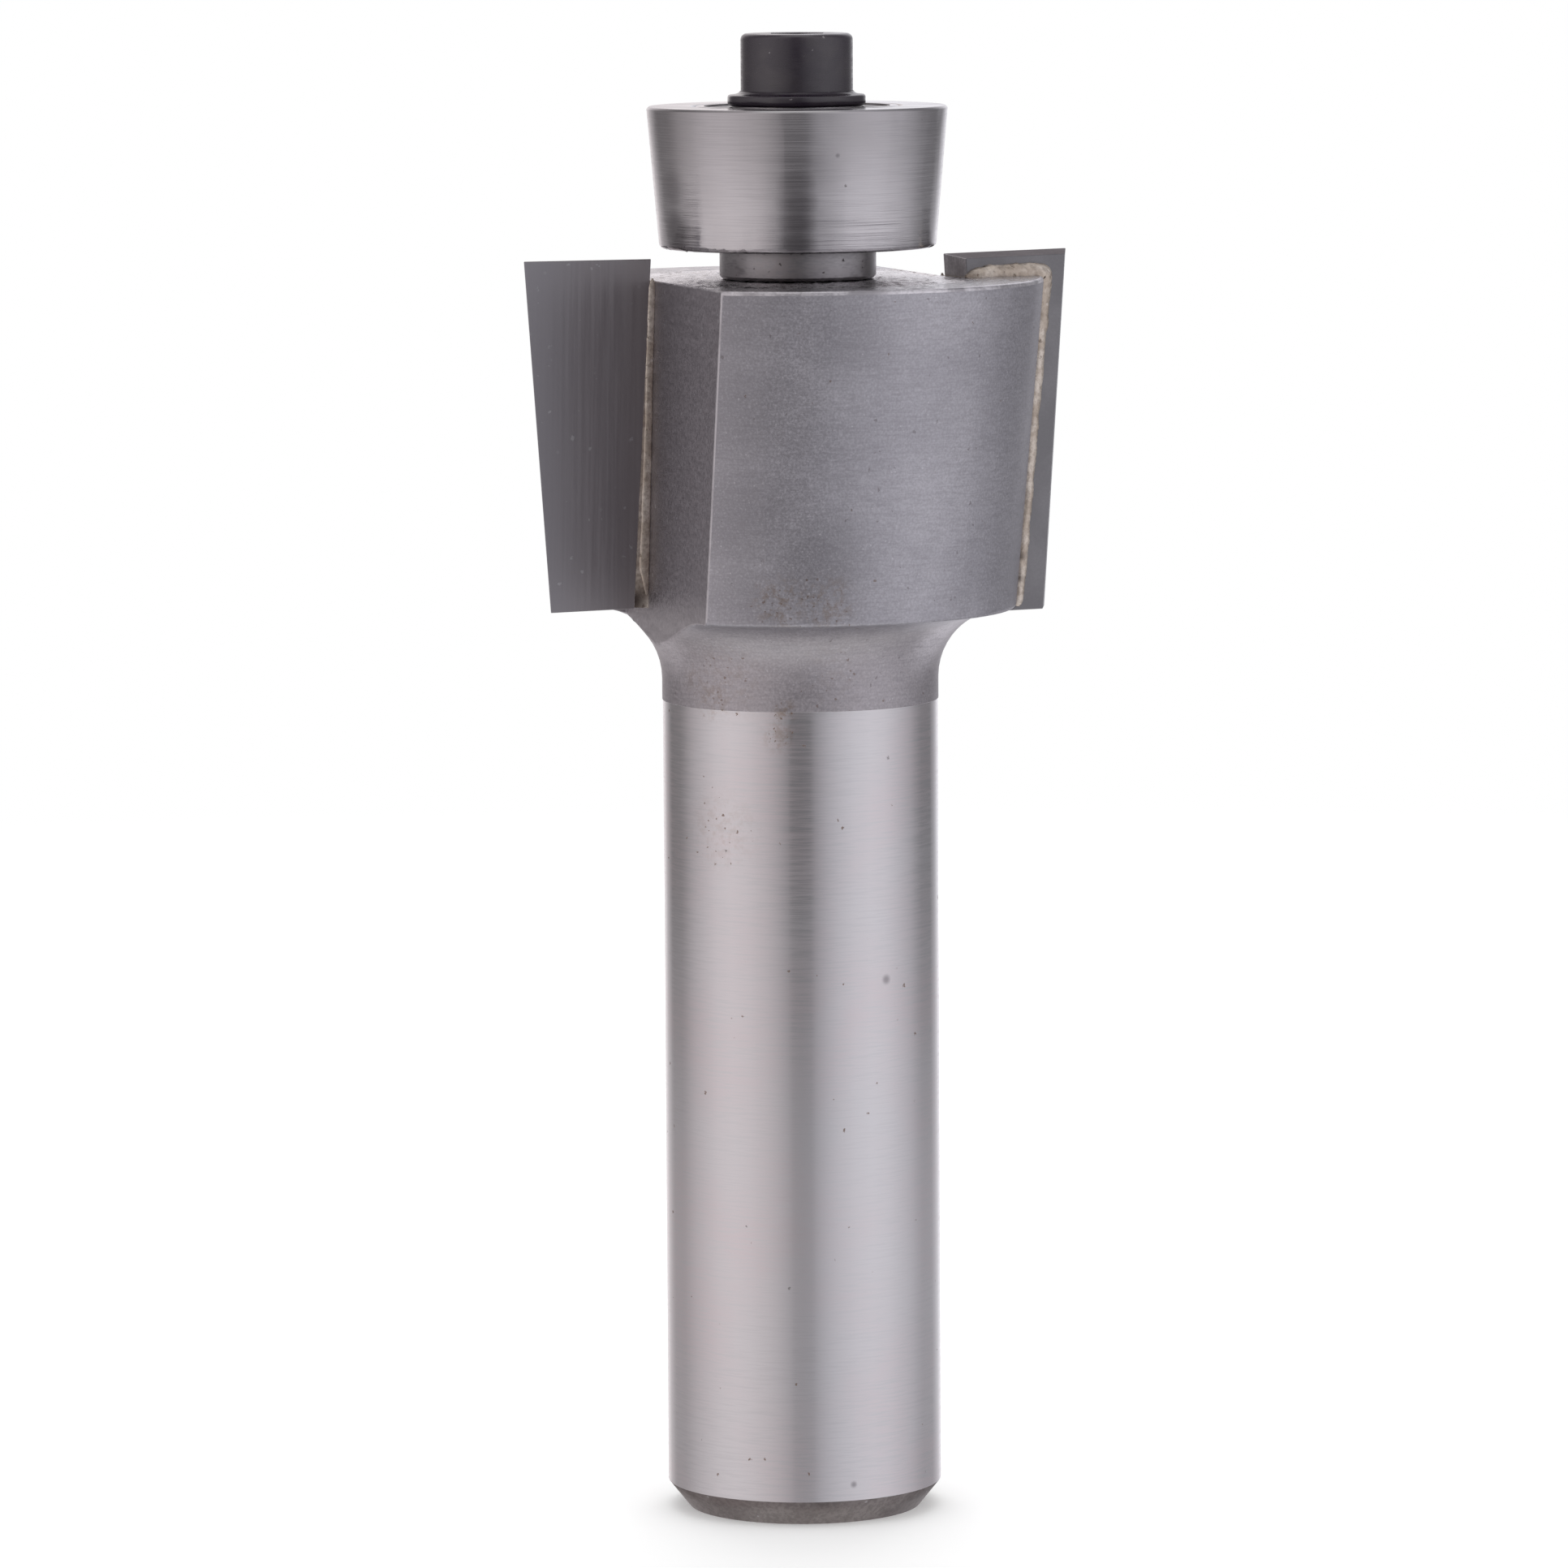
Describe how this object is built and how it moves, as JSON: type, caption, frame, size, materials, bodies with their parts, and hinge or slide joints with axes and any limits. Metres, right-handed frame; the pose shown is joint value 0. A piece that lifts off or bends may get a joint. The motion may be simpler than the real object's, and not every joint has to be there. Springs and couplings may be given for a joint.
{
  "type": "tapered router bit with bearing guide",
  "caption": "Carbide-tipped router bit with a straight shank, tapered cutting edges and a tapered guide that turns on ball bearings at its end.",
  "frame": {"origin": "centre of the shank's end face, which the bit stands on", "axes": "+Z along the axis towards the guide, +X outwards along the cutting face of tip 2"},
  "size_m": [0.0264, 0.0226, 0.0683],
  "materials": {
    "blasted_steel": "fine matt, turned and blasted; the shank ground",
    "ground_steel": "ground round, fine satin",
    "turned_steel": "turned",
    "bearing_steel": "polished",
    "pressed_steel": "pressed sheet",
    "carbide": "ground satin, dark grey",
    "braze": "dull, rough",
    "black_oxide": "black oxide, satin"
  },
  "bodies": {
    "cutter": {"cutter_body": "blasted_steel", "carbide_tip_1": "carbide", "carbide_tip_2": "carbide", "braze_1": "braze", "braze_2": "braze", "spacer_ring": "turned_steel", "lower_bearing_inner_race": "bearing_steel", "upper_bearing_inner_race": "bearing_steel", "washer": "black_oxide", "cap_screw": "black_oxide"},
    "guide": {"guide_sleeve": "ground_steel", "lower_bearing_outer_race": "bearing_steel", "upper_bearing_outer_race": "bearing_steel", "lower_bearing_shield_bottom": "pressed_steel", "lower_bearing_shield_top": "pressed_steel", "upper_bearing_shield_bottom": "pressed_steel", "upper_bearing_shield_top": "pressed_steel"},
    "lower_ball_set": {"lower_bearing_balls": "bearing_steel", "lower_bearing_cage": "pressed_steel"},
    "upper_ball_set": {"upper_bearing_balls": "bearing_steel", "upper_bearing_cage": "pressed_steel"}
  },
  "joints": [
    {"name": "guide_spin", "type": "hinge", "parent": "cutter", "child": "guide", "pos_m": [0, 0, 0.06185], "axis": [0, 0, 1], "continuous": true},
    {"name": "lower_ball_spin", "type": "hinge", "parent": "cutter", "child": "lower_ball_set", "pos_m": [0, 0, 0.06026], "axis": [0, 0, 1], "continuous": true},
    {"name": "upper_ball_spin", "type": "hinge", "parent": "cutter", "child": "upper_ball_set", "pos_m": [0, 0, 0.06344], "axis": [0, 0, 1], "continuous": true}
  ],
  "couplings": [
    {"joint": "lower_ball_spin", "follows": "guide_spin", "ratio": 0.608},
    {"joint": "upper_ball_spin", "follows": "guide_spin", "ratio": 0.608}
  ]
}
